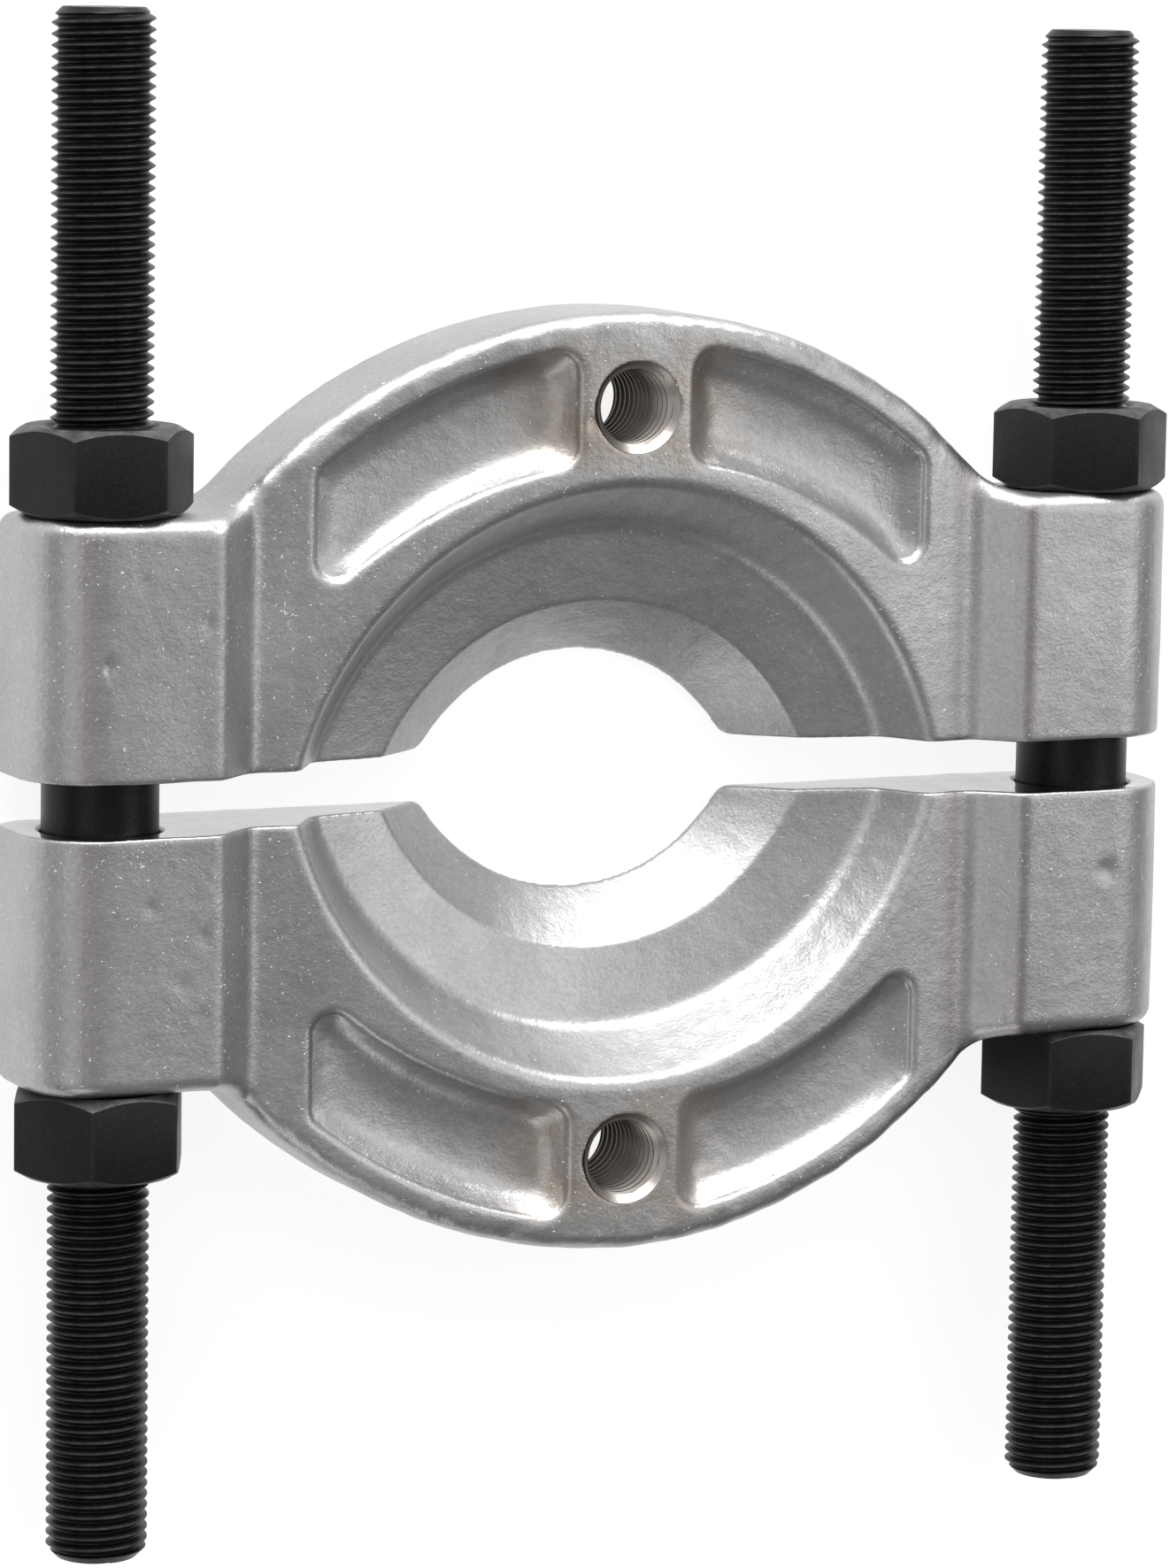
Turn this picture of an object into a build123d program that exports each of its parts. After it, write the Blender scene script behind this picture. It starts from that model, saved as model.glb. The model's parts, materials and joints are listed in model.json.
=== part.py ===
"""Bearing separator: two forged half plates drawn together on two long studs with four nuts.

Millimetres, +Z up.  The tool lies on its back.  The origin is the centre of the bore, in the
plane of the two stud axes.  The studs run along Y, and the halves part along Y.
"""
from math import cos, radians, sin, sqrt, tan
import os

from build123d import *

# Studs: plain shank in the middle, thread on both ends
stud_length = 211.0
thread_diameter = 14.0
shank_step = 1.0
shank_length = 60.0
stud_end_chamfer = 1.4
shoulder_chamfer = 0.8
stud_offset = 1.1

# Hexagon nuts, turned to a cone on both faces
nut_across_flats = 22.0
nut_height = 12.0
nut_face_diameter = 20.6
nut_chamfer_angle = 30.0
nut_countersink = 0.9

# Turn of each nut about its stud, in degrees
upper_left_turn = 7.2
upper_right_turn = 18.0
lower_left_turn = -6.0
lower_right_turn = 7.6

# Dished seat and knife-edged bore, turned about one axis beyond the split: widths from the
# bore outwards, heights over the flat back
split_gap = 7.2
dish_axis_beyond_split = 14.1
bore_radius = 27.3
bore_land = 0.4
bore_tip_rounding = 3.4
cone_width = 7.9
cone_height = 8.0
dish_floor_width = 10.7
dish_wall_foot_height = 10.3
dish_wall_angle = 31.4
dish_root_rounding = 3.2
dish_lip_rounding = 2.4

# Half plates: flat back, crowned front that falls towards the ears
axis_height = 11.25
plate_thickness = 20.8
plate_edge_thickness = 17.0
rim_to_pocket = 4.6
rim_end_to_stud = 16.2
rim_to_ear_radius = 12.0
rim_edge_radius = 2.4

# Ears round the studs
lip_to_ear_slope = 7.34
ear_slope_width = 6.1
slope_foot_radius = 3.5
ear_inner_reach = 13.6
ear_inner_radius = 3.0
ear_reach = 12.3
ear_front_radius = 10.5
ear_back_radius = 5.2
ear_thickness = 22.5
ear_length = 35.4

# Tapped hole for the leg of the puller, drilled through the plate
lip_to_puller_hole = 10.8
puller_drill_diameter = 10.4
puller_mouth_chamfer = 1.1

# Pockets on both sides of the puller hole
puller_mouth_to_pocket = 2.5
lip_to_pocket = 3.7
pocket_width = 15.7
pocket_to_ear_slope = 8.7
pocket_inner_radius = 64.0
pocket_depth = 6.5
pocket_draft = 8.0
pocket_corner_radius = 3.2
pocket_root_radius = 1.3
pocket_edge_radius = 1.4

# Broken edges and running clearances
split_edge_chamfer = 0.3
stud_bore_chamfer = 0.5
shank_clearance = 0.1
thread_clearance = 0.05

# Levels over the stud axes
back_z = -axis_height
crown_z = back_z + plate_thickness
slope_foot_z = back_z + plate_edge_thickness
ear_front_z = back_z + ear_thickness
cone_z = back_z + cone_height
wall_foot_z = back_z + dish_wall_foot_height

# Seat, from the bore outwards
split_y = split_gap / 2
dish_axis_y = split_y - dish_axis_beyond_split
cone_radius = bore_radius + cone_width
wall_foot_radius = cone_radius + dish_floor_width


def wall_radius(z):
    """Radius of the seat's drafted wall at a level."""
    return wall_foot_radius + (z - wall_foot_z) * tan(radians(dish_wall_angle))


# From the lip of the seat to the rim along Y, and to the ears along X
lip_y = dish_axis_y + wall_radius(crown_z)
puller_hole_y = lip_y + lip_to_puller_hole
pocket_inner_y = lip_y + lip_to_pocket
pocket_outer_y = pocket_inner_y + pocket_width
rim_crown_y = pocket_outer_y + rim_to_pocket
ear_end_y = split_y + ear_length
lip_x = sqrt(wall_radius(slope_foot_z) ** 2 - dish_axis_beyond_split**2)
slope_foot_x = lip_x + lip_to_ear_slope
ear_inner_x = slope_foot_x + ear_slope_width
stud_x = ear_inner_x + ear_inner_reach
ear_outer_x = stud_x + ear_reach
rim_rise = rim_crown_y - ear_end_y
rim_radius = ((stud_x - rim_end_to_stud) ** 2 + rim_rise**2) / (2 * rim_rise)
pocket_outer_radius = rim_radius - rim_to_pocket
pocket_rib_x = puller_drill_diameter / 2 + puller_mouth_chamfer + puller_mouth_to_pocket
pocket_end_x = slope_foot_x - pocket_to_ear_slope
shank_radius = thread_diameter / 2 + shank_step

# Die core of the right-hand pocket: two arcs, the rib by the hole and the end by the ear
with BuildPart() as pocket:
    with BuildSketch(Plane.XY.offset(crown_z)) as kidney:
        with Locations((0, pocket_outer_y - pocket_outer_radius)):
            Circle(pocket_outer_radius)
        with Locations((0, pocket_inner_y - pocket_inner_radius)):
            Circle(pocket_inner_radius, mode=Mode.SUBTRACT)
        with Locations((pocket_rib_x, 0)):
            Rectangle(
                pocket_end_x - pocket_rib_x,
                pocket_outer_y,
                align=(Align.MIN, Align.MIN),
                mode=Mode.INTERSECT,
            )
        fillet(kidney.vertices(), pocket_corner_radius)
    extrude(amount=-pocket_depth, taper=pocket_draft)
    fillet(pocket.faces().sort_by(Axis.Z)[0].edges(), pocket_root_radius)

with BuildPart() as upper_jaw:
    # Plan of the half: the arched rim and the two ears
    with BuildSketch(Plane.XY.offset(back_z)) as plan:
        with Locations((0, rim_crown_y - rim_radius)):
            Circle(rim_radius)
        with Locations((0, split_y)):
            Rectangle(
                2 * rim_radius,
                rim_crown_y - split_y,
                align=(Align.CENTER, Align.MIN),
                mode=Mode.INTERSECT,
            )
            Rectangle(2 * ear_outer_x, ear_length, align=(Align.CENTER, Align.MIN))
        ear_end_corners = plan.vertices().group_by(Axis.Y)[-1]
        fillet(ear_end_corners.sort_by(Axis.X)[1:-1], rim_to_ear_radius)
    extrude(amount=ear_thickness)

    # Section along the studs: flat back, crowned middle, thick rounded ears
    with BuildSketch(Plane.XZ.offset(-rim_crown_y)) as section:
        with BuildLine():
            FilletPolyline(
                (0, back_z),
                (ear_outer_x, back_z),
                (ear_outer_x, ear_front_z),
                (ear_inner_x, ear_front_z),
                (slope_foot_x, slope_foot_z),
                radius=(ear_back_radius, ear_front_radius, ear_inner_radius),
            )
            mirror(about=Plane.YZ)
            ThreePointArc((-slope_foot_x, slope_foot_z), (0, crown_z), (slope_foot_x, slope_foot_z))
        make_face()
        for foot_x in (-slope_foot_x, slope_foot_x):
            foot = section.vertices().sort_by_distance((foot_x, slope_foot_z))[0]
            fillet(foot, slope_foot_radius)
    extrude(amount=rim_crown_y - split_y, mode=Mode.INTERSECT)

    # The forging's outer edges and the edges of the milled split face
    split_edges = upper_jaw.faces().sort_by(Axis.Y)[0].edges()
    straight_edges = upper_jaw.edges().filter_by(Axis.Y) + upper_jaw.edges().filter_by(Axis.Z)
    fillet(upper_jaw.edges() - straight_edges - split_edges, rim_edge_radius)
    chamfer(upper_jaw.faces().sort_by(Axis.Y)[0].edges(), split_edge_chamfer)

    # Seat for the bearing: drafted wall, dished floor, cone and knife edge
    with BuildSketch(Plane.XZ.offset(-dish_axis_y)):
        with BuildLine():
            seat = FilletPolyline(
                (cone_radius, cone_z),
                (wall_foot_radius, wall_foot_z),
                (wall_radius(ear_front_z), ear_front_z),
                radius=dish_root_rounding,
            )
            Polyline(
                seat @ 1,
                (0, ear_front_z),
                (0, back_z),
                (bore_radius, back_z),
                (bore_radius, back_z + bore_land),
                seat @ 0,
            )
        make_face()
    revolve(axis=Axis((0, dish_axis_y, 0), (0, 0, 1)), mode=Mode.SUBTRACT)
    fillet(upper_jaw.edges(Select.LAST).sort_by(Axis.Z)[-1], dish_lip_rounding)

    # The knife edge's two points at the split are rounded off
    with BuildSketch(Plane.XY.offset(back_z)) as throat:
        with Locations((0, dish_axis_y)):
            Circle(bore_radius)
            Rectangle(2 * rim_radius, dish_axis_beyond_split, align=(Align.CENTER, Align.MIN))
        split_corners = throat.vertices().group_by(Axis.Y)[-1]
        fillet(split_corners.sort_by(Axis.X)[1:-1], bore_tip_rounding)
    extrude(amount=plate_thickness, mode=Mode.SUBTRACT)

    # Pockets, with the edge of each mouth rounded
    add((pocket.part, mirror(pocket.part, about=Plane.YZ, mode=Mode.PRIVATE)), mode=Mode.SUBTRACT)
    curved_faces = upper_jaw.faces().filter_by(GeomType.CYLINDER)
    mouths = [mouth for face in curved_faces for mouth in face.inner_wires()]
    fillet([edge for mouth in mouths for edge in mouth.edges()], pocket_edge_radius)

    # Tapped hole for the puller
    with Locations((0, puller_hole_y, crown_z)):
        Hole(puller_drill_diameter / 2)
    chamfer(upper_jaw.edges(Select.LAST) - upper_jaw.edges().filter_by(Axis.Z), puller_mouth_chamfer)

    # Bores in which the stud shanks slide
    with BuildSketch(Plane.XZ.offset(-ear_end_y)):
        with Locations((-stud_x, 0), (stud_x, 0)):
            Circle(shank_radius + shank_clearance)
    extrude(amount=ear_length, mode=Mode.SUBTRACT)
    chamfer(upper_jaw.edges(Select.LAST).filter_by(GeomType.CIRCLE), stud_bore_chamfer)

# The other half is the same forging turned end for end
with BuildPart() as lower_jaw:
    add(upper_jaw.part, rotation=(0, 0, 180))


def turned_stud(middle):
    """A stud turned from bar along Y: a plain shank between two ends of the thread's diameter."""
    with BuildPart(Plane(middle, z_dir=(0, 1, 0))) as stud:
        Cylinder(thread_diameter / 2, stud_length)
        chamfer(stud.edges().filter_by(GeomType.CIRCLE), stud_end_chamfer)
        Cylinder(shank_radius, shank_length)
        shoulders = stud.edges().filter_by(GeomType.CIRCLE).group_by(SortBy.RADIUS)[-1]
        chamfer(shoulders, shoulder_chamfer)
    return stud.part


def hex_nut(seat):
    """A hexagon nut standing on its seat plane, with a cone on both faces and an open bore."""
    corner_radius = nut_across_flats / 2 / cos(radians(30))
    face_radius = nut_face_diameter / 2
    cone_rise = (corner_radius - face_radius) * tan(radians(nut_chamfer_angle))
    with BuildPart() as nut:
        with BuildSketch(seat):
            RegularPolygon(nut_across_flats / 2, 6, major_radius=False)
        extrude(amount=nut_height)
        with BuildSketch(Plane(seat.origin, seat.x_dir, -seat.y_dir)):
            with BuildLine():
                Polyline(
                    (0, 0),
                    (face_radius, 0),
                    (corner_radius, cone_rise),
                    (corner_radius, nut_height - cone_rise),
                    (face_radius, nut_height),
                    (0, nut_height),
                    close=True,
                )
            make_face()
        revolve(axis=Axis(seat.origin, seat.z_dir), mode=Mode.INTERSECT)
        with BuildSketch(seat):
            Circle(thread_diameter / 2 + thread_clearance)
        extrude(amount=nut_height, mode=Mode.SUBTRACT)
        chamfer(nut.edges(Select.LAST).filter_by(GeomType.CIRCLE), nut_countersink)
    return nut.part


def ear_seat(side, half, turn):
    """The plane on an ear's end, facing away from the split, its X turned about the stud."""
    turned_x = (cos(radians(turn)), 0, sin(radians(turn)))
    return Plane((side * stud_x, half * ear_end_y, 0), x_dir=turned_x, z_dir=(0, half, 0))


pieces = {
    "upper_jaw": upper_jaw.part,
    "lower_jaw": lower_jaw.part,
    "left_stud": turned_stud((-stud_x, stud_offset, 0)),
    "right_stud": turned_stud((stud_x, -stud_offset, 0)),
    "nut_upper_left": hex_nut(ear_seat(-1, 1, upper_left_turn)),
    "nut_upper_right": hex_nut(ear_seat(1, 1, upper_right_turn)),
    "nut_lower_left": hex_nut(ear_seat(-1, -1, lower_left_turn)),
    "nut_lower_right": hex_nut(ear_seat(1, -1, lower_right_turn)),
}

os.makedirs("parts", exist_ok=True)
for name, piece in pieces.items():
    piece.label = name
    export_step(piece, f"parts/{name}.step")
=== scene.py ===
"""Looks of the bearing separator: forged halves, black threaded studs, nuts, and a studio.

Places and sizes are in metres, in the frame of the solids.
"""

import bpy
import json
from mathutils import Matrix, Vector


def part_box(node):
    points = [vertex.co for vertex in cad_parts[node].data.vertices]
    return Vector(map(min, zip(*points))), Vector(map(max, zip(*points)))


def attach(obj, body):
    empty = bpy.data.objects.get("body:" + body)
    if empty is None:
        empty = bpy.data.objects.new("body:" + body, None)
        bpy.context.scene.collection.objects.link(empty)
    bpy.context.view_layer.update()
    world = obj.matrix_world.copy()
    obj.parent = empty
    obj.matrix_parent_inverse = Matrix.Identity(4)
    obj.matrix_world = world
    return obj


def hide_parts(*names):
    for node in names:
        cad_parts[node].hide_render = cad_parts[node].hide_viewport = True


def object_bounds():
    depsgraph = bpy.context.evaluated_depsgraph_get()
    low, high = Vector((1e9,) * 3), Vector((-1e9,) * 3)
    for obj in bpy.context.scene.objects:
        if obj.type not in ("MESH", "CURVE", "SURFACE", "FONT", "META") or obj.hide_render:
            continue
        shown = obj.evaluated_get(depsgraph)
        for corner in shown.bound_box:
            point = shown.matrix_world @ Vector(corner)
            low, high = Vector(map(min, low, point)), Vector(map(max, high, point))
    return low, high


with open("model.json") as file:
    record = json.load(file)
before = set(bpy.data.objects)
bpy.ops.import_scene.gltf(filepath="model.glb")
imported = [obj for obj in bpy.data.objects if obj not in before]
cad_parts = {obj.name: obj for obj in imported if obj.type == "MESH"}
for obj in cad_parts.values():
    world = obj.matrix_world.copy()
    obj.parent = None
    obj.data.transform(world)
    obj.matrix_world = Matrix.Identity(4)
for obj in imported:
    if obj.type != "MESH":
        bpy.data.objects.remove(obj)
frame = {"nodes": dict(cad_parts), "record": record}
CAD_BOX = [list(corner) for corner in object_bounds()]

import json
import math

import bmesh
import bpy
from bpy.props import FloatProperty, FloatVectorProperty, IntProperty, PointerProperty
from mathutils import Matrix, Vector, noise
import numpy as np

bl_info = {
    "name": "Bearing Separator",
    "version": (1, 0, 0),
    "blender": (4, 5, 0),
    "location": "3D View > Sidebar > Separator",
    "description": "Dresses the bearing separator: forging, threads, nuts and a plain studio",
    "category": "Object",
}

STUD_MIDDLES = {
    name: [(low + high) / 2 for low, high in zip(*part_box(name))]
    for name in ("left_stud", "right_stud")
}
STUD_X = STUD_MIDDLES["right_stud"][0]
HALVES = {"upper_jaw": "upper_half", "lower_jaw": "lower_half"}
NUTS = {
    "nut_upper_left": "upper_left_nut",
    "nut_upper_right": "upper_right_nut",
    "nut_lower_left": "lower_left_nut",
    "nut_lower_right": "lower_right_nut",
}
PULLER_HOLES = {m["name"]: m for m in frame["record"]["mounts"] if m["kind"] == "threaded_hole"}
PULLER_HOLE_Y = 0.0526

# Form of a half plate: level and fall of its crowned front, axes of the seat and of the rim
CROWN_LEVEL = 0.00955
CROWN_FALL = 0.808
SEAT_AXIS_Y = -0.0105
RIM_AXIS_Y = -0.0121
RIM_RADIUS = 0.0779
EAR_X = 0.05
SPLIT_FACE_Y = 0.0042

# Pockets: reach along X, distances from the seat's axis and from the rim, and where they are deep
POCKET_NEAR_X, POCKET_FAR_X = 0.0078, 0.0482
POCKET_FROM_SEAT = 0.0539
POCKET_FROM_RIM = 0.0032
POCKET_FLOOR_LEVEL = 0.001
POCKET_MOUTH_DEPTH = 0.0011

# The rim's front edge: its distance from the rim, half width, depth, fade and end along X
EDGE_FROM_RIM = 0.0012
EDGE_HALF_WIDTH = 0.003
EDGE_DEPTH = 0.005
EDGE_FADE = 0.004
EDGE_END_X = 0.056

# Unevenness of the forging: turns per metre of its waves, its ripples and its drawn bands
WAVES, RIPPLES = 95.0, 330.0
BANDS_ACROSS, BANDS_ALONG = 190.0, 8.0
TRIANGLES_PER_HALF = 190000

# Drill that clears the puller holes for their threads: its length and its room round a thread
DRILL_LENGTH = 0.05
DRILL_CLEARANCE = 0.0001

# Oily brown casts beside the puller holes: where they begin and end to fade, across and along
CAST_ACROSS = (0.008, 0.022)
CAST_ALONG = (0.005, 0.011)

# X, half width and strength of each darker purplish band along the ears: painted shade where
# reflections darken the roundings and slopes, with a tint
TINTED_SHADE_BANDS = ((-0.0812, 0.0035, 0.6), (0.0528, 0.0022, 0.7), (0.0616, 0.0022, 0.7))
# Place, radius and depth of each dent
DENTS = (
    ((-0.07782, 0.01961, 0.01125), 0.0008, 0.0005),
    ((-0.07325, 0.03069, 0.01125), 0.0006, 0.0004),
    ((-0.06375, 0.02481, 0.01125), 0.0007, 0.0004),
    ((-0.06204, 0.03837, 0.0108), 0.0012, 0.0005),
    ((-0.06962, 0.01455, 0.01125), 0.0004, 0.0002),
    ((-0.08128, 0.01193, 0.01095), 0.0004, 0.0002),
    ((-0.08153, -0.01137, 0.01095), 0.0005, 0.00025),
    ((-0.08073, -0.02003, 0.01105), 0.0006, 0.00025),
    ((-0.07182, -0.01321, 0.01125), 0.0007, 0.0003),
    ((-0.06416, -0.0176, 0.01125), 0.0008, 0.0003),
    ((-0.06743, -0.02394, 0.01125), 0.0008, 0.00025),
    ((-0.06433, -0.02823, 0.01125), 0.0007, 0.0003),
    ((0.07522, -0.01547, 0.01125), 0.0012, 0.00045),
    ((0.05543, -0.02161, 0.0096), 0.0006, 0.0003),
    ((0.03771, 0.00521, 0.0075), 0.0012, 0.0006),
    ((-0.0067, 0.05063, 0.0098), 0.0009, 0.0004),
)

# Name, place, width, height and power of each lamp
LAMPS = (
    ("head", (0.0, 0.98, 0.3), 1.4, 0.4, 17.0),
    ("right", (0.7, 0.1, 0.85), 0.5, 0.5, 1.4),
    ("left", (-0.75, -0.15, 0.65), 0.5, 0.5, 0.7),
    ("foot", (-0.35, -0.8, 0.45), 0.5, 0.4, 1.1),
)
# Brightness of the light tent from the foot end to the head end
TENT_LEVELS = ((0.0, 0.12), (0.2, 0.13), (0.43, 0.22), (0.62, 0.42), (0.93, 0.85))
TENT_STRENGTH = 1.5
HORIZON_LEVEL = 0.1

# Glow of the floor for the camera and for reflections, and its share over the paint
FLOOR_GLOW = 1.35
FLOOR_GLOW_SHARE = 0.65

# Camera: millimetres of lens and sensor, place in metres, turn in degrees
CAMERA_LENS, CAMERA_SENSOR = 142.5, 36.0
CAMERA_PLACE = (-0.36659, 0.12165, 0.77908)
CAMERA_TURN = (-8.543, -24.890, 1.028)


class SeparatorSizes(bpy.types.PropertyGroup):
    """Sizes of what the dressing adds to the bare solids."""

    stud_diameter: FloatProperty(
        name="Stud Thread", description="Diameter over the crests of the stud thread",
        default=0.01392, subtype="DISTANCE", unit="LENGTH")
    stud_pitch: FloatProperty(
        name="Stud Pitch", description="Distance between two crests of the stud thread",
        default=0.0015, subtype="DISTANCE", unit="LENGTH")
    stud_thread_depth: FloatProperty(
        name="Stud Thread Depth", description="Depth of the stud thread, crest to root",
        default=0.00086, subtype="DISTANCE", unit="LENGTH")
    stud_length: FloatProperty(
        name="Stud Length", description="Length of a stud, end to end",
        default=0.21099, subtype="DISTANCE", unit="LENGTH")
    stud_end_chamfer: FloatProperty(
        name="Stud End Chamfer", description="Width of the chamfer on a stud's ends",
        default=0.0014, subtype="DISTANCE", unit="LENGTH")
    shank_diameter: FloatProperty(
        name="Shank Diameter", description="Diameter of the plain shank in a stud's middle",
        default=0.016, subtype="DISTANCE", unit="LENGTH")
    shank_length: FloatProperty(
        name="Shank Length", description="Length of the plain shank",
        default=0.06, subtype="DISTANCE", unit="LENGTH")
    shoulder_chamfer: FloatProperty(
        name="Shoulder Chamfer", description="Width of the chamfer on the shank's shoulders",
        default=0.0008, subtype="DISTANCE", unit="LENGTH")
    hole_pitch: FloatProperty(
        name="Puller Hole Pitch", description="Distance between two crests in a puller hole",
        default=0.0015, subtype="DISTANCE", unit="LENGTH")
    hole_thread_depth: FloatProperty(
        name="Puller Hole Thread Depth", description="Depth of the thread in a puller hole",
        default=0.0008, subtype="DISTANCE", unit="LENGTH")
    hole_mouth: FloatProperty(
        name="Puller Hole Mouth", description="Diameter of a puller hole at the plate's faces",
        default=0.0128, subtype="DISTANCE", unit="LENGTH")
    hole_mouth_depth: FloatProperty(
        name="Puller Hole Mouth Depth", description="Depth of the chamfer in a puller hole's mouth",
        default=0.00107, subtype="DISTANCE", unit="LENGTH")
    forging_grain: FloatProperty(
        name="Forging Grain", description="Facet size of the forged surface",
        default=0.00038, subtype="DISTANCE", unit="LENGTH")
    forging_unevenness: FloatProperty(
        name="Forging Unevenness", description="How far the forged surface wanders",
        default=0.00012, subtype="DISTANCE", unit="LENGTH")
    pocket_softening: IntProperty(
        name="Pocket Softening", description="Rounds of smoothing at the roots of the pockets",
        default=240)
    nut_edge: FloatProperty(
        name="Nut Edge", description="Width of the rounding on a nut's edges",
        default=0.0003, subtype="DISTANCE", unit="LENGTH")
    thread_sides: IntProperty(
        name="Thread Sides", description="Sides of a threaded stud", default=36)
    thread_rows: IntProperty(
        name="Thread Rows", description="Rows of faces in each turn of a thread", default=16)
    floor_reach: FloatProperty(
        name="Floor Reach", description="Half width of the floor",
        default=2.0, subtype="DISTANCE", unit="LENGTH")


class SeparatorFinishes(bpy.types.PropertyGroup):
    """Colours of the finishes and the studio."""

    forged_steel: FloatVectorProperty(
        name="Forged Steel", description="Plated, tumbled steel of the halves",
        default=(0.47, 0.47, 0.475), subtype="COLOR", min=0.0, max=1.0)
    forged_tint: FloatVectorProperty(
        name="Forged Tint", description="Warm tint where the plating is thin",
        default=(0.41, 0.405, 0.405), subtype="COLOR", min=0.0, max=1.0)
    brown_cast: FloatVectorProperty(
        name="Brown Cast", description="Oil-stained plating beside the puller holes",
        default=(0.42, 0.36, 0.30), subtype="COLOR", min=0.0, max=1.0)
    # Painted shade with a purplish tint: darker bands along the ears, where reflections darken the
    # roundings and slopes.
    tinted_shade_band: FloatVectorProperty(
        name="Dull Band", description="Purplish bands in the plating along the ears",
        default=(0.35, 0.315, 0.32), subtype="COLOR", min=0.0, max=1.0)
    # Partly painted highlight: tumbling marks are painted pale so that they also stand in for
    # glints.
    speck_and_glint: FloatVectorProperty(
        name="Speck", description="Bright specks where the tumbling has struck the steel",
        default=(0.85, 0.85, 0.85), subtype="COLOR", min=0.0, max=1.0)
    bore: FloatVectorProperty(
        name="Bore", description="Oily brown steel deep in the puller holes",
        default=(0.12, 0.106, 0.095), subtype="COLOR", min=0.0, max=1.0)
    stud_oxide: FloatVectorProperty(
        name="Stud Oxide", description="Black oxide of the studs",
        default=(0.004, 0.004, 0.004), subtype="COLOR", min=0.0, max=1.0)
    nut_oxide: FloatVectorProperty(
        name="Nut Oxide", description="Black oxide of the nuts",
        default=(0.008, 0.008, 0.008), subtype="COLOR", min=0.0, max=1.0)
    # Partly painted highlight: oxide rubbed thin, plus pale crests and chamfers that stand in for
    # glints.
    worn_oxide_and_glint: FloatVectorProperty(
        name="Worn Oxide", description="Black oxide rubbed thin on edges and crests",
        default=(0.08, 0.08, 0.082), subtype="COLOR", min=0.0, max=1.0)
    floor: FloatVectorProperty(
        name="Floor", description="The pale floor",
        default=(0.6, 0.6, 0.6), subtype="COLOR", min=0.0, max=1.0)


class Kit:
    """Adds nodes to a node tree; an input takes a plain value or another node's output."""

    def __init__(self, tree):
        self.tree = tree

    def node(self, kind, inputs=None, **settings):
        made = self.tree.nodes.new(kind)
        for name, value in settings.items():
            setattr(made, name, value)
        for key, value in (inputs or {}).items():
            if isinstance(value, bpy.types.NodeSocket):
                self.tree.links.new(value, made.inputs[key])
            else:
                made.inputs[key].default_value = value
        return made

    def math(self, operation, *values):
        made = self.node("ShaderNodeMath", dict(enumerate(values)), operation=operation)
        return made.outputs[0]

    def map(self, value, low, high, to_low, to_high):
        made = self.node(
            "ShaderNodeMapRange",
            {
                "Value": value, "From Min": low, "From Max": high,
                "To Min": to_low, "To Max": to_high,
            },
        )
        return made.outputs[0]


def geometry_tree(name, inputs):
    """An empty Geometry Nodes tree with these named inputs, and its kit and input node."""
    tree = bpy.data.node_groups.new(name, "GeometryNodeTree")
    tree.is_modifier = True
    tree.interface.new_socket("Geometry", in_out="OUTPUT", socket_type="NodeSocketGeometry")
    for label, kind in inputs:
        tree.interface.new_socket(label, in_out="INPUT", socket_type=f"NodeSocket{kind}")
    kit = Kit(tree)
    return kit, kit.node("NodeGroupInput").outputs


def thread_height(kit, along, turn, pitch, crest_share, root_share):
    """1 on the crest and 0 at the root of a right-hand thread."""
    phase = kit.math("FRACT", kit.math("SUBTRACT", kit.math("DIVIDE", along, pitch), turn))
    away = kit.math("ABSOLUTE", kit.math("SUBTRACT", phase, 0.5))
    return kit.map(away, crest_share / 2, 0.5 - root_share / 2, 1.0, 0.0)


def helix_grid(kit, length, pitch, sides, rows_per_turn):
    """A grid whose rows climb one pitch each turn.

    Gives its mesh, and for each point the turn from 0 to 1, the way along the axis, and 0 on the
    first and last row, 1 between them.
    """
    turns = kit.math("ADD", kit.math("DIVIDE", length, pitch), 1.0)
    steps = kit.math("CEIL", kit.math("MULTIPLY", turns, rows_per_turn))
    grid = kit.node(
        "GeometryNodeMeshGrid",
        {
            "Size X": 1.0,
            "Size Y": 1.0,
            "Vertices X": kit.math("ADD", sides, 1.0),
            "Vertices Y": kit.math("ADD", steps, 1.0),
        },
    )
    place = kit.node("ShaderNodeSeparateXYZ", {0: kit.node("GeometryNodeInputPosition").outputs[0]})
    turn = kit.math("ADD", place.outputs["X"], 0.5)
    share = kit.math("ADD", place.outputs["Y"], 0.5)
    reach = kit.math("DIVIDE", kit.math("MULTIPLY", steps, pitch), rows_per_turn)
    climbed = kit.math("MULTIPLY", share, reach)
    raised = kit.math("ADD", climbed, kit.math("MULTIPLY", kit.math("SUBTRACT", turn, 1.0), pitch))
    along = kit.math("MAXIMUM", kit.math("MINIMUM", raised, length), 0.0)
    inner = kit.math(
        "MULTIPLY", kit.math("GREATER_THAN", share, 1e-5), kit.math("LESS_THAN", share, 1 - 1e-5)
    )
    return grid.outputs["Mesh"], turn, along, inner


def finish_tree(kit, mesh, position, material):
    """Places the grid's points, closes its seams and gives it its material."""
    placed = kit.node("GeometryNodeSetPosition", {"Geometry": mesh, "Position": position})
    merged = kit.node(
        "GeometryNodeMergeByDistance", {"Geometry": placed.outputs[0], "Distance": 2e-6}
    )
    real = kit.node("GeometryNodeRealizeInstances", {"Geometry": merged.outputs[0]})
    covered = kit.node(
        "GeometryNodeSetMaterial", {"Geometry": real.outputs[0], "Material": material}
    )
    kit.node("NodeGroupOutput", {"Geometry": covered.outputs[0]})
    return kit.tree


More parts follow.
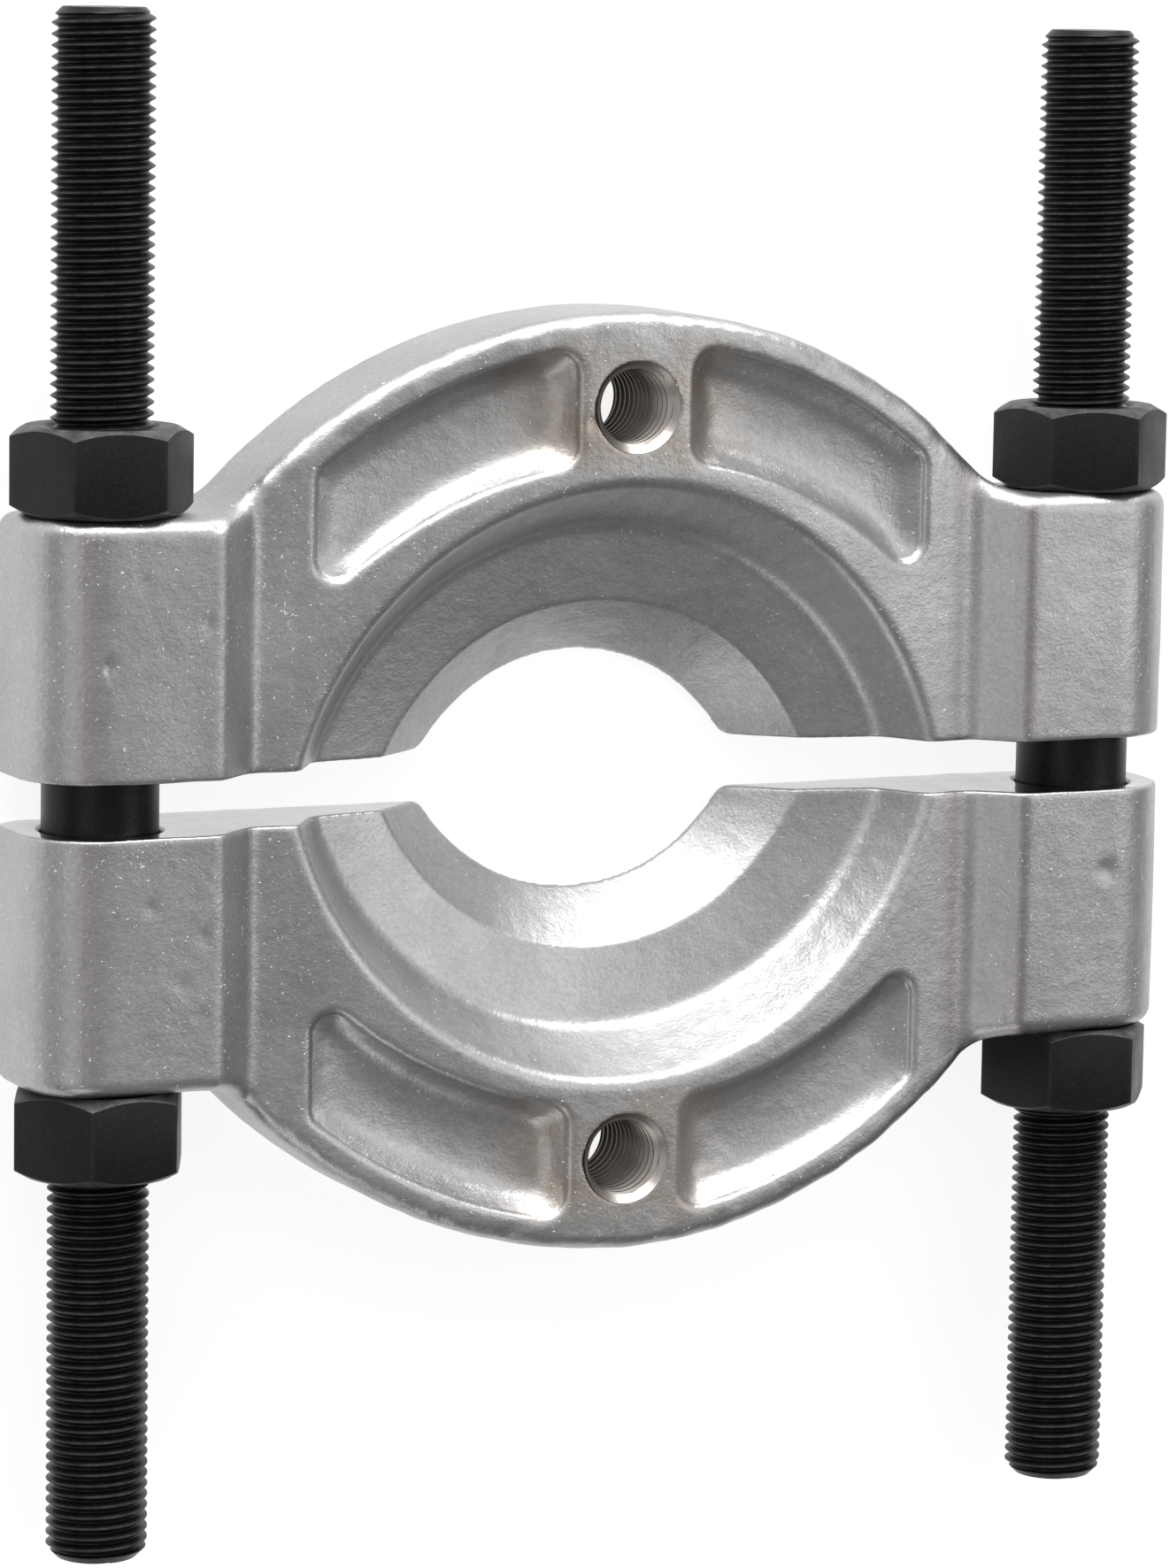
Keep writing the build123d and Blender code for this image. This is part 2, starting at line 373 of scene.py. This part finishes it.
def stud_tree():
    """A stud along Y: plain shank between two rolled threads, with chamfered ends."""
    kit, given = geometry_tree(
        "threaded_stud",
        [
            ("Middle", "Vector"),
            ("Length", "Float"),
            ("Diameter", "Float"),
            ("Pitch", "Float"),
            ("Depth", "Float"),
            ("End Chamfer", "Float"),
            ("Shank Diameter", "Float"),
            ("Shank Length", "Float"),
            ("Shoulder", "Float"),
            ("Sides", "Int"),
            ("Rows per Turn", "Int"),
            ("Material", "Material"),
        ],
    )
    length, pitch = given["Length"], given["Pitch"]
    mesh, turn, along, inner = helix_grid(
        kit, length, pitch, given["Sides"], given["Rows per Turn"]
    )
    major = kit.math("DIVIDE", given["Diameter"], 2.0)
    height = thread_height(kit, along, turn, pitch, crest_share=0.14, root_share=0.2)
    low = kit.math("SUBTRACT", 1.0, height)
    thread = kit.math("SUBTRACT", major, kit.math("MULTIPLY", low, given["Depth"]))
    to_end = kit.math("MINIMUM", along, kit.math("SUBTRACT", length, along))
    cone = kit.math("ADD", kit.math("SUBTRACT", major, given["End Chamfer"]), to_end)
    thread = kit.math("MINIMUM", thread, cone)
    centred = kit.math("SUBTRACT", along, kit.math("DIVIDE", length, 2.0))
    inside = kit.math(
        "SUBTRACT", kit.math("DIVIDE", given["Shank Length"], 2.0), kit.math("ABSOLUTE", centred)
    )
    full = kit.math("DIVIDE", given["Shank Diameter"], 2.0)
    shank = kit.math(
        "MINIMUM", full, kit.math("ADD", kit.math("SUBTRACT", full, given["Shoulder"]), inside)
    )
    shank = kit.math("MULTIPLY", shank, kit.math("GREATER_THAN", inside, 0.0))
    radius = kit.math("MULTIPLY", kit.math("MAXIMUM", thread, shank), inner)
    angle = kit.math("MULTIPLY", turn, 2 * math.pi)
    ring = kit.node(
        "ShaderNodeCombineXYZ",
        {
            "X": kit.math("MULTIPLY", radius, kit.math("SINE", angle)),
            "Y": centred,
            "Z": kit.math("MULTIPLY", radius, kit.math("COSINE", angle)),
        },
    )
    place = kit.node(
        "ShaderNodeVectorMath", {0: ring.outputs[0], 1: given["Middle"]}, operation="ADD"
    )
    return finish_tree(kit, mesh, place.outputs[0], given["Material"])


def puller_thread_tree():
    """The threaded lining of a puller hole along Z, an open sleeve from one mouth to the other."""
    kit, given = geometry_tree(
        "puller_thread",
        [
            ("Bottom", "Vector"),
            ("Length", "Float"),
            ("Crest Radius", "Float"),
            ("Depth", "Float"),
            ("Pitch", "Float"),
            ("Back Radius", "Float"),
            ("Mouth Radius", "Float"),
            ("Sides", "Int"),
            ("Rows per Turn", "Int"),
            ("Material", "Material"),
        ],
    )
    length, pitch = given["Length"], given["Pitch"]
    mesh, turn, along, inner = helix_grid(
        kit, length, pitch, given["Sides"], given["Rows per Turn"]
    )
    height = thread_height(kit, along, turn, pitch, crest_share=0.22, root_share=0.14)
    low = kit.math("SUBTRACT", 1.0, height)
    thread = kit.math("ADD", given["Crest Radius"], kit.math("MULTIPLY", low, given["Depth"]))
    to_end = kit.math("MINIMUM", along, kit.math("SUBTRACT", length, along))
    cone = kit.math("SUBTRACT", given["Mouth Radius"], to_end)
    bore = kit.math("MINIMUM", kit.math("MAXIMUM", thread, cone), given["Back Radius"])
    back = kit.math("MULTIPLY", given["Back Radius"], kit.math("SUBTRACT", 1.0, inner))
    radius = kit.math("ADD", kit.math("MULTIPLY", bore, inner), back)
    angle = kit.math("MULTIPLY", turn, 2 * math.pi)
    ring = kit.node(
        "ShaderNodeCombineXYZ",
        {
            "X": kit.math("MULTIPLY", radius, kit.math("COSINE", angle)),
            "Y": kit.math("MULTIPLY", radius, kit.math("SINE", angle)),
            "Z": along,
        },
    )
    place = kit.node(
        "ShaderNodeVectorMath", {0: ring.outputs[0], 1: given["Bottom"]}, operation="ADD"
    )
    return finish_tree(kit, mesh, place.outputs[0], given["Material"])


def grown(name, tree, values):
    """An object at the origin whose mesh a Geometry Nodes tree makes from these values."""
    made = bpy.data.objects.new(name, bpy.data.meshes.new(name))
    bpy.context.scene.collection.objects.link(made)
    grow = made.modifiers.new("grow", "NODES")
    grow.node_group = tree
    for item in tree.interface.items_tree:
        if item.in_out == "INPUT":
            grow[item.identifier] = values[item.name]
    settle(made)
    return made


def settle(made):
    """Turns what an object's modifiers make into its plain mesh, and removes them."""
    bpy.context.view_layer.update()
    graph = bpy.context.evaluated_depsgraph_get()
    mesh = bpy.data.meshes.new_from_object(made.evaluated_get(graph))
    mesh.name = made.name
    made.modifiers.clear()
    made.data = mesh


def face_outwards(mesh):
    """Recalculates a closed mesh's faces to point outwards."""
    shell = bmesh.new()
    shell.from_mesh(mesh)
    bmesh.ops.recalc_face_normals(shell, faces=shell.faces)
    shell.to_mesh(mesh)
    shell.free()


def shade(mesh, angle):
    """Smooth shading that breaks at edges sharper than this many degrees."""
    mesh.polygons.foreach_set("use_smooth", [True] * len(mesh.polygons))
    mesh.set_sharp_from_angle(angle=math.radians(angle))


def copy_of(node):
    """A merged copy of a CAD node's mesh as a new object at the origin."""
    made = bpy.data.objects.new(f"{node}_dressed", frame["nodes"][node].data.copy())
    bpy.context.scene.collection.objects.link(made)
    made.data.materials.clear()
    shell = bmesh.new()
    shell.from_mesh(made.data)
    bmesh.ops.remove_doubles(shell, verts=shell.verts, dist=1e-6)
    shell.to_mesh(made.data)
    shell.free()
    return made


def steel_nodes(name, roughness, metallic):
    """A new material with its kit, its Principled shader and an Object-coordinate output."""
    material = bpy.data.materials.new(name)
    material.use_nodes = True
    kit = Kit(material.node_tree)
    shader = material.node_tree.nodes["Principled BSDF"]
    shader.inputs["Metallic"].default_value = metallic
    shader.inputs["Roughness"].default_value = roughness
    where = kit.node("ShaderNodeTexCoord").outputs["Object"]
    return material, kit, shader, where


def noise_at(kit, where, scale, detail=3.0, roughness=0.5):
    """Grey noise at a place, of this many turns per metre."""
    made = kit.node(
        "ShaderNodeTexNoise",
        {"Vector": where, "Scale": scale, "Detail": detail, "Roughness": roughness},
    )
    return made.outputs[0]


def mixed(kit, factor, first, second):
    """The first colour, turning into the second as the factor goes from 0 to 1."""
    made = kit.node("ShaderNodeMix", {0: factor, 6: first, 7: second}, data_type="RGBA")
    return made.outputs[2]


def add_bump(kit, shader, height, strength, distance):
    """Feeds a height to the shader's normal."""
    bump = kit.node(
        "ShaderNodeBump", {"Strength": strength, "Distance": distance, "Height": height}
    )
    kit.tree.links.new(bump.outputs[0], shader.inputs["Normal"])


def plating(kit, where, place, finishes):
    """Colour of the plating: cloudy, brown beside the puller holes, and darker purplish bands on
    the ears, which are painted shade.
    """
    clouds = kit.map(noise_at(kit, where, 45.0, 5.0, 0.65), 0.35, 0.68, 0.0, 1.0)
    base = mixed(kit, clouds, (*finishes.forged_steel, 1.0), (*finishes.forged_tint, 1.0))
    aside = kit.map(kit.math("ABSOLUTE", place["X"]), *CAST_ACROSS, 1.0, 0.0)
    from_hole = kit.math("SUBTRACT", kit.math("ABSOLUTE", place["Y"]), PULLER_HOLE_Y)
    beside = kit.map(kit.math("ABSOLUTE", from_hole), *CAST_ALONG, 1.0, 0.0)
    patchy = kit.map(noise_at(kit, where, 130.0, 4.0, 0.65), 0.4, 0.62, 0.25, 1.0)
    cast = kit.math("MULTIPLY", kit.math("MULTIPLY", aside, beside), patchy)
    base = mixed(kit, cast, base, (*finishes.brown_cast, 1.0))
    # Painted shade: darker purplish bands along the ears, where reflections darken their roundings
    # and slopes.
    for middle, reach, most in TINTED_SHADE_BANDS:
        near = kit.math("ABSOLUTE", kit.math("SUBTRACT", place["X"], middle))
        base = mixed(kit, kit.map(near, 0.0, reach, most, 0.0), base, (*finishes.tinted_shade_band, 1.0))
    sand = kit.map(noise_at(kit, where, 1500.0, 2.0, 0.7), 0.3, 0.7, 0.91, 1.09)
    return kit.node("ShaderNodeVectorMath", {0: base, "Scale": sand}, operation="SCALE").outputs[0]


def tumbling_pits(kit, where):
    """1 in the small pits that tumbling leaves, which crowd in some places, and 0 elsewhere."""
    crowd = kit.map(noise_at(kit, where, 75.0, 3.0, 0.6), 0.42, 0.62, 0.0, 0.036)
    fine = kit.math("ADD", noise_at(kit, where, 2000.0, 1.0, 0.5), crowd)
    coarse = kit.math("ADD", noise_at(kit, where, 1000.0, 2.0, 0.75), crowd)
    return kit.math(
        "MAXIMUM", kit.map(fine, 0.735, 0.77, 0.0, 1.0), kit.map(coarse, 0.775, 0.8, 0.0, 1.0)
    )


def split_face_dulling(kit, place):
    """1 on the forging, and less on the smoother faces along the split."""
    facing = kit.node("ShaderNodeNewGeometry").outputs["Normal"]
    tilt = kit.math("ABSOLUTE", kit.node("ShaderNodeSeparateXYZ", {0: facing}).outputs["Y"])
    inner = kit.math("LESS_THAN", kit.math("ABSOLUTE", place["Y"]), SPLIT_FACE_Y)
    split = kit.math("MULTIPLY", kit.math("GREATER_THAN", tilt, 0.97), inner)
    return kit.math("SUBTRACT", 1.0, kit.math("MULTIPLY", split, 0.7))


def forged_steel(finishes):
    """Tumbled, plated forging: sandy grain, crowded pits and specks painted pale as glints, brown
    casts by the holes, bands of painted shade on the ears.
    """
    material, kit, shader, where = steel_nodes("forged_steel", 0.42, 1.0)
    place = kit.node("ShaderNodeSeparateXYZ", {0: where}).outputs
    base = plating(kit, where, place, finishes)
    pits = tumbling_pits(kit, where)
    # Painted highlight, partly real tumbling marks: the pits take the pale speck colour, which
    # stands in for their glints.
    bright = mixed(kit, kit.math("MULTIPLY", pits, 0.75), base, (*finishes.speck_and_glint, 1.0))
    kit.tree.links.new(bright, shader.inputs["Base Color"])
    faced = split_face_dulling(kit, place)
    dull = kit.map(noise_at(kit, where, 60.0, 4.0, 0.65), 0.3, 0.7, 0.36, 0.48)
    rough = kit.math("MULTIPLY", kit.math("ADD", dull, kit.math("MULTIPLY", pits, 0.15)), faced)
    kit.tree.links.new(rough, shader.inputs["Roughness"])
    grain = noise_at(kit, where, 2600.0, 2.0, 0.6)
    lumps = noise_at(kit, where, 420.0, 3.0, 0.6)
    height = kit.math("ADD", kit.math("MULTIPLY", grain, 0.4), lumps)
    height = kit.math("SUBTRACT", height, kit.math("MULTIPLY", pits, 0.8))
    add_bump(kit, shader, kit.math("MULTIPLY", height, faced), 0.75, 0.00014)
    return material


def tapped_bore(finishes, front):
    """Cut thread, oily and brown in its depth and bright at its mouth."""
    material, kit, shader, where = steel_nodes("tapped_bore", 0.36, 1.0)
    height = kit.node("ShaderNodeSeparateXYZ", {0: where}).outputs["Z"]
    ragged = kit.math("ADD", height, kit.map(noise_at(kit, where, 300.0), 0.3, 0.7, -0.001, 0.001))
    depth = kit.map(ragged, front - 0.0005, front - 0.007, 0.0, 1.0)
    mouth = mixed(kit, 0.5, (*finishes.forged_tint, 1.0), (*finishes.brown_cast, 1.0))
    base = mixed(kit, depth, mouth, (*finishes.bore, 1.0))
    kit.tree.links.new(base, shader.inputs["Base Color"])
    add_bump(kit, shader, noise_at(kit, where, 2500.0, 2.0, 0.5), 0.3, 0.00004)
    return material


def black_oxide(name, colour, pale_wear_and_glint, roughness, worn_radii, ridge_share, chamfer_share):
    """Black oxide on machined steel: sandy, oily, pale between two radii and on chamfers, partly
    rubbed thin and partly painted glints.

    What stands out past the larger radius, such as a stud's shank, isn't made pale.
    """
    low, high = worn_radii
    material, kit, shader, where = steel_nodes(name, roughness, 0.0)
    shader.inputs["Specular IOR Level"].default_value = 0.2
    place = kit.node("ShaderNodeSeparateXYZ", {0: where}).outputs
    aside = kit.math("SUBTRACT", kit.math("ABSOLUTE", place["X"]), STUD_X)
    spoke = kit.node("ShaderNodeCombineXYZ", {"X": aside, "Z": place["Z"]}).outputs[0]
    outward = kit.node("ShaderNodeVectorMath", {0: spoke}, operation="LENGTH").outputs["Value"]
    facing = kit.node("ShaderNodeNewGeometry").outputs["True Normal"]
    tilt = kit.math("ABSOLUTE", kit.node("ShaderNodeSeparateXYZ", {0: facing}).outputs["Y"])
    # Partly painted highlight: thread crests and nut chamfers are painted pale, both as rubbed
    # oxide and as glints.
    chamfer = kit.map(tilt, 0.3, 0.5, 0.0, chamfer_share)
    chamfer = kit.math("MULTIPLY", chamfer, kit.math("LESS_THAN", tilt, 0.96))
    ridge = kit.map(outward, low, high, 0.0, ridge_share)
    ridge = kit.math("MULTIPLY", ridge, kit.math("LESS_THAN", outward, high + 0.0003))
    rubbed = kit.math("MAXIMUM", ridge, chamfer)
    patchy = kit.map(noise_at(kit, where, 420.0, 4.0, 0.7), 0.35, 0.65, 0.25, 1.0)
    wear_and_glint = kit.math("MULTIPLY", rubbed, patchy)
    sand = kit.map(noise_at(kit, where, 2200.0, 2.0, 0.7), 0.5, 0.75, 0.0, 0.12)
    pale = kit.math("MAXIMUM", wear_and_glint, sand)
    kit.tree.links.new(
        mixed(kit, pale, (*colour, 1.0), (*pale_wear_and_glint, 1.0)), shader.inputs["Base Color"]
    )
    uneven = kit.map(noise_at(kit, where, 150.0, 3.0), 0.3, 0.7, roughness - 0.06, roughness + 0.08)
    kit.tree.links.new(uneven, shader.inputs["Roughness"])
    add_bump(kit, shader, noise_at(kit, where, 1800.0, 2.0, 0.5), 0.4, 0.00006)
    return material


class SEPARATOR_OT_forge_halves(bpy.types.Operator):
    """Give both halves their forged, tumbled surface"""

    bl_idname = "separator.forge_halves"
    bl_label = "Forge Halves"

    def execute(self, context):
        sizes = context.scene.separator_sizes
        material = forged_steel(context.scene.separator_finishes)
        for node, body in HALVES.items():
            half = copy_of(node)
            drill = self.drill(PULLER_HOLES[f"puller_hole_{node.removesuffix('_jaw')}"], sizes)
            cut = half.modifiers.new("drill", "BOOLEAN")
            cut.operation, cut.solver, cut.object = "DIFFERENCE", "EXACT", drill
            forge = half.modifiers.new("forge", "REMESH")
            forge.mode, forge.voxel_size = "VOXEL", sizes.forging_grain
            forge.use_smooth_shade = True
            soften = half.modifiers.new("soften", "SMOOTH")
            soften.factor, soften.iterations = 0.5, 3
            settle(half)
            thin = half.modifiers.new("thin", "DECIMATE")
            thin.ratio = min(1.0, TRIANGLES_PER_HALF / (2 * len(half.data.polygons)))
            settle(half)
            bpy.data.objects.remove(drill)
            self.weather(half.data, sizes)
            half.data.materials.append(material)
            half.data.polygons.foreach_set("use_smooth", [True] * len(half.data.polygons))
            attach(half, body)
            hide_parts(node)
        return {"FINISHED"}

    def drill(self, mount, sizes):
        """A cylinder a little wider than the puller hole, to make room for its thread."""
        shell = bmesh.new()
        radius = mount["dims"]["r_mm"] / 1000 + sizes.hole_thread_depth + DRILL_CLEARANCE
        bmesh.ops.create_cone(
            shell, cap_ends=True, segments=96, radius1=radius, radius2=radius,
            depth=DRILL_LENGTH, matrix=Matrix.Translation(mount["pos_m"]),
        )
        mesh = bpy.data.meshes.new("drill")
        shell.to_mesh(mesh)
        shell.free()
        made = bpy.data.objects.new("drill", mesh)
        bpy.context.scene.collection.objects.link(made)
        return made

    def weather(self, mesh, sizes):
        """Softens the pockets' roots, lets the surface wander, and knocks dents into it."""
        count = len(mesh.vertices)
        points = np.empty(count * 3, dtype=np.float32)
        normals = np.empty(count * 3, dtype=np.float32)
        ends = np.empty(len(mesh.edges) * 2, dtype=np.int32)
        mesh.vertices.foreach_get("co", points)
        mesh.vertex_normals.foreach_get("vector", normals)
        mesh.edges.foreach_get("vertices", ends)
        points, normals = points.reshape(-1, 3).astype(np.float64), normals.reshape(-1, 3)
        across, along, level = np.abs(points[:, 0]), np.abs(points[:, 1]), points[:, 2]
        crown = CROWN_LEVEL - across**2 / CROWN_FALL
        from_seat = np.hypot(across, along - SEAT_AXIS_Y)
        from_rim = RIM_RADIUS - np.hypot(across, along - RIM_AXIS_Y)
        pocket = (across > POCKET_NEAR_X) & (across < POCKET_FAR_X)
        pocket &= (from_seat > POCKET_FROM_SEAT) & (from_rim > POCKET_FROM_RIM)
        root = pocket & (level > POCKET_FLOOR_LEVEL) & (level < crown - POCKET_MOUTH_DEPTH)
        self.soften(points, ends, root, sizes.pocket_softening)
        waves = np.array([noise.noise(Vector(p) * WAVES) for p in points])
        ripples = np.array([noise.noise(Vector(p) * RIPPLES) for p in points])
        bands = np.array([
            noise.noise(Vector((p[0] * BANDS_ACROSS, p[1] * BANDS_ALONG, 0.3))) for p in points
        ])
        sway = 0.75 * waves + 0.25 * ripples + 0.8 * bands * (across > EAR_X) - 0.7
        edge = np.clip(1.0 - np.abs(from_rim - EDGE_FROM_RIM) / EDGE_HALF_WIDTH, 0.0, 1.0)
        edge *= np.clip((level - crown + EDGE_DEPTH) / EDGE_FADE, 0.0, 1.0) * (across < EDGE_END_X)
        push = sizes.forging_unevenness * (sway + 1.6 * edge * (waves + ripples - 0.4))
        for place, radius, depth in DENTS:
            away = np.sum((points - place) ** 2, axis=1) / radius**2
            push -= depth * np.exp(-away)
        points += normals * push[:, None]
        mesh.vertices.foreach_set("co", points.astype(np.float32).ravel())
        mesh.update()

    def soften(self, points, ends, chosen, rounds):
        """Moves the chosen points, round by round, to the mean of those they share an edge with."""
        first, second = ends.reshape(-1, 2).T
        meeting = np.bincount(ends, minlength=len(points))
        for _ in range(rounds):
            for axis in range(3):
                total = np.bincount(first, points[second, axis], len(points))
                total += np.bincount(second, points[first, axis], len(points))
                points[chosen, axis] = (total / meeting)[chosen]


class SEPARATOR_OT_turn_studs(bpy.types.Operator):
    """Turn the two long studs with their rolled threads"""

    bl_idname = "separator.turn_studs"
    bl_label = "Turn Studs"

    def execute(self, context):
        sizes = context.scene.separator_sizes
        finishes = context.scene.separator_finishes
        tree = stud_tree()
        crest = sizes.stud_diameter / 2
        material = black_oxide(
            "stud_oxide", finishes.stud_oxide, finishes.worn_oxide_and_glint, roughness=0.34,
            worn_radii=(crest - 0.0002, crest), ridge_share=0.6, chamfer_share=0.0,
        )
        for node, middle in STUD_MIDDLES.items():
            stud = grown(
                f"{node}_threaded",
                tree,
                {
                    "Middle": middle,
                    "Length": sizes.stud_length,
                    "Diameter": sizes.stud_diameter,
                    "Pitch": sizes.stud_pitch,
                    "Depth": sizes.stud_thread_depth,
                    "End Chamfer": sizes.stud_end_chamfer,
                    "Shank Diameter": sizes.shank_diameter,
                    "Shank Length": sizes.shank_length,
                    "Shoulder": sizes.shoulder_chamfer,
                    "Sides": sizes.thread_sides,
                    "Rows per Turn": sizes.thread_rows,
                    "Material": material,
                },
            )
            face_outwards(stud.data)
            shade(stud.data, 32.0)
            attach(stud, "studs")
            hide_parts(node)
        return {"FINISHED"}


class SEPARATOR_OT_tap_puller_holes(bpy.types.Operator):
    """Line the puller holes with their threads"""

    bl_idname = "separator.tap_puller_holes"
    bl_label = "Tap Puller Holes"

    def execute(self, context):
        sizes = context.scene.separator_sizes
        tree = puller_thread_tree()
        front = max(m["pos_m"][2] + m["dims"]["length_mm"] / 2000 for m in PULLER_HOLES.values())
        material = tapped_bore(context.scene.separator_finishes, front)
        for name, mount in PULLER_HOLES.items():
            body = "upper_half" if mount["pos_m"][1] > 0 else "lower_half"
            crest = mount["dims"]["r_mm"] / 1000
            reach = mount["dims"]["length_mm"] / 2000 + sizes.hole_mouth_depth
            lining = grown(
                f"{name}_thread",
                tree,
                {
                    "Bottom": Vector(mount["pos_m"]) - Vector((0.0, 0.0, reach)),
                    "Length": 2 * reach,
                    "Crest Radius": crest,
                    "Depth": sizes.hole_thread_depth,
                    "Pitch": sizes.hole_pitch,
                    "Back Radius": sizes.hole_mouth / 2,
                    "Mouth Radius": sizes.hole_mouth / 2,
                    "Sides": 2 * sizes.thread_sides,
                    "Rows per Turn": sizes.thread_rows,
                    "Material": material,
                },
            )
            face_outwards(lining.data)
            shade(lining.data, 32.0)
            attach(lining, body)
        return {"FINISHED"}


class SEPARATOR_OT_fit_nuts(bpy.types.Operator):
    """Fit the four hexagon nuts with pale edges, partly rubbed and partly painted glints"""

    bl_idname = "separator.fit_nuts"
    bl_label = "Fit Nuts"

    def execute(self, context):
        sizes = context.scene.separator_sizes
        finishes = context.scene.separator_finishes
        material = black_oxide(
            "nut_oxide", finishes.nut_oxide, finishes.worn_oxide_and_glint, roughness=0.4,
            worn_radii=(0.0124, 0.01265), ridge_share=0.15, chamfer_share=1.0,
        )
        for node, body in NUTS.items():
            nut = copy_of(node)
            shell = bmesh.new()
            shell.from_mesh(nut.data)
            bmesh.ops.dissolve_limit(
                shell, angle_limit=math.radians(1.0), verts=shell.verts, edges=shell.edges
            )
            shell.to_mesh(nut.data)
            shell.free()
            edges = nut.modifiers.new("edges", "BEVEL")
            edges.width, edges.segments = sizes.nut_edge, 2
            edges.limit_method, edges.angle_limit = "ANGLE", math.radians(24.0)
            edges.use_clamp_overlap = True
            settle(nut)
            shade(nut.data, 30.0)
            nut.data.materials.append(material)
            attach(nut, body)
            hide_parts(node)
        return {"FINISHED"}


class SEPARATOR_OT_set_stage(bpy.types.Operator):
    """Set up the pale floor, the soft lights and the camera"""

    bl_idname = "separator.set_stage"
    bl_label = "Set Stage"

    def execute(self, context):
        scene = context.scene
        self.floor(scene)
        self.world(scene)
        for name, place, width, height, power in LAMPS:
            self.lamp(name, place, width, height, power)
        self.camera(scene)
        scene.view_settings.view_transform = "Standard"
        return {"FINISHED"}

    def camera(self, scene):
        """A long lens from the photograph's side."""
        lens = bpy.data.cameras.new("camera")
        lens.lens, lens.sensor_width = CAMERA_LENS, CAMERA_SENSOR
        lens.clip_start, lens.clip_end = 0.05, 20.0
        camera = bpy.data.objects.new("camera", lens)
        camera.location = CAMERA_PLACE
        camera.rotation_euler = [math.radians(angle) for angle in CAMERA_TURN]
        scene.collection.objects.link(camera)
        scene.camera = camera

    def floor(self, scene):
        """A pale floor that glows white to the camera and in reflections, and keeps a shadow."""
        reach = scene.separator_sizes.floor_reach
        level = CAD_BOX[0][2]
        mesh = bpy.data.meshes.new("floor")
        corners = [(x * reach, y * reach, level) for x, y in ((-1, -1), (1, -1), (1, 1), (-1, 1))]
        mesh.from_pydata(corners, [], [(0, 1, 2, 3)])
        floor = bpy.data.objects.new("floor", mesh)
        scene.collection.objects.link(floor)
        material = bpy.data.materials.new("floor")
        material.use_nodes = True
        kit = Kit(material.node_tree)
        kit.tree.nodes.remove(kit.tree.nodes["Principled BSDF"])
        paint = kit.node(
            "ShaderNodeBsdfDiffuse", {"Color": (*scene.separator_finishes.floor, 1.0)}
        )
        glow = kit.node(
            "ShaderNodeEmission", {"Color": (1.0, 1.0, 1.0, 1.0), "Strength": FLOOR_GLOW}
        )
        path = kit.node("ShaderNodeLightPath").outputs
        mirrored = kit.math("MAXIMUM", path["Is Glossy Ray"], path["Is Transmission Ray"])
        seen = kit.math("MAXIMUM", path["Is Camera Ray"], mirrored)
        share = kit.math("MULTIPLY", seen, FLOOR_GLOW_SHARE)
        surface = kit.node(
            "ShaderNodeMixShader", {0: share, 1: paint.outputs[0], 2: glow.outputs[0]}
        )
        kit.tree.links.new(surface.outputs[0], kit.tree.nodes["Material Output"].inputs["Surface"])
        mesh.materials.append(material)

    def world(self, scene):
        """A light tent that brightens towards the head end, and is dim near the horizon."""
        scene.world = bpy.data.worlds.new("studio")
        scene.world.use_nodes = True
        kit = Kit(scene.world.node_tree)
        lit = kit.tree.nodes["Background"]
        direction = kit.node("ShaderNodeTexCoord").outputs["Generated"]
        way = kit.node("ShaderNodeSeparateXYZ", {0: direction}).outputs
        tent = kit.node("ShaderNodeValToRGB", {0: kit.map(way["Y"], -1.0, 1.0, 0.0, 1.0)})
        for place, level in TENT_LEVELS[2:]:
            tent.color_ramp.elements.new(place)
        for stop, (place, level) in zip(tent.color_ramp.elements, TENT_LEVELS):
            stop.position, stop.color = place, (level, level, level, 1.0)
        horizon = kit.map(way["Z"], 0.0, 0.55, 0.75, 0.0)
        low_sky = (HORIZON_LEVEL, HORIZON_LEVEL, HORIZON_LEVEL, 1.0)
        sky = mixed(kit, horizon, tent.outputs["Color"], low_sky)
        kit.tree.links.new(sky, lit.inputs["Color"])
        lit.inputs["Strength"].default_value = TENT_STRENGTH

    def lamp(self, name, place, width, height, power):
        """A soft rectangular lamp aimed at the bore."""
        light = bpy.data.lights.new(name, "AREA")
        light.shape, light.size, light.size_y, light.energy = "RECTANGLE", width, height, power
        lamp = bpy.data.objects.new(name, light)
        lamp.location = place
        lamp.rotation_euler = (-Vector(place)).to_track_quat("-Z", "Y").to_euler()
        bpy.context.scene.collection.objects.link(lamp)


STEPS = (
    SEPARATOR_OT_set_stage,
    SEPARATOR_OT_forge_halves,
    SEPARATOR_OT_tap_puller_holes,
    SEPARATOR_OT_turn_studs,
    SEPARATOR_OT_fit_nuts,
)


class SEPARATOR_PT_sidebar(bpy.types.Panel):
    """The separator's sizes, finishes and steps"""

    bl_idname = "SEPARATOR_PT_sidebar"
    bl_label = "Bearing Separator"
    bl_space_type = "VIEW_3D"
    bl_region_type = "UI"
    bl_category = "Separator"

    def draw(self, context):
        for group in (context.scene.separator_sizes, context.scene.separator_finishes):
            column = self.layout.column()
            for name in group.__annotations__:
                column.prop(group, name)
        for step in STEPS:
            self.layout.operator(step.bl_idname)


CLASSES = (SeparatorSizes, SeparatorFinishes, *STEPS, SEPARATOR_PT_sidebar)


def register():
    for made in CLASSES:
        bpy.utils.register_class(made)
    bpy.types.Scene.separator_sizes = PointerProperty(type=SeparatorSizes)
    bpy.types.Scene.separator_finishes = PointerProperty(type=SeparatorFinishes)


def unregister():
    del bpy.types.Scene.separator_finishes
    del bpy.types.Scene.separator_sizes
    for made in reversed(CLASSES):
        bpy.utils.unregister_class(made)


def main():
    register()
    bpy.ops.separator.set_stage()
    bpy.ops.separator.forge_halves()
    bpy.ops.separator.tap_puller_holes()
    bpy.ops.separator.turn_studs()
    bpy.ops.separator.fit_nuts()


if __name__ == "__main__":
    main()
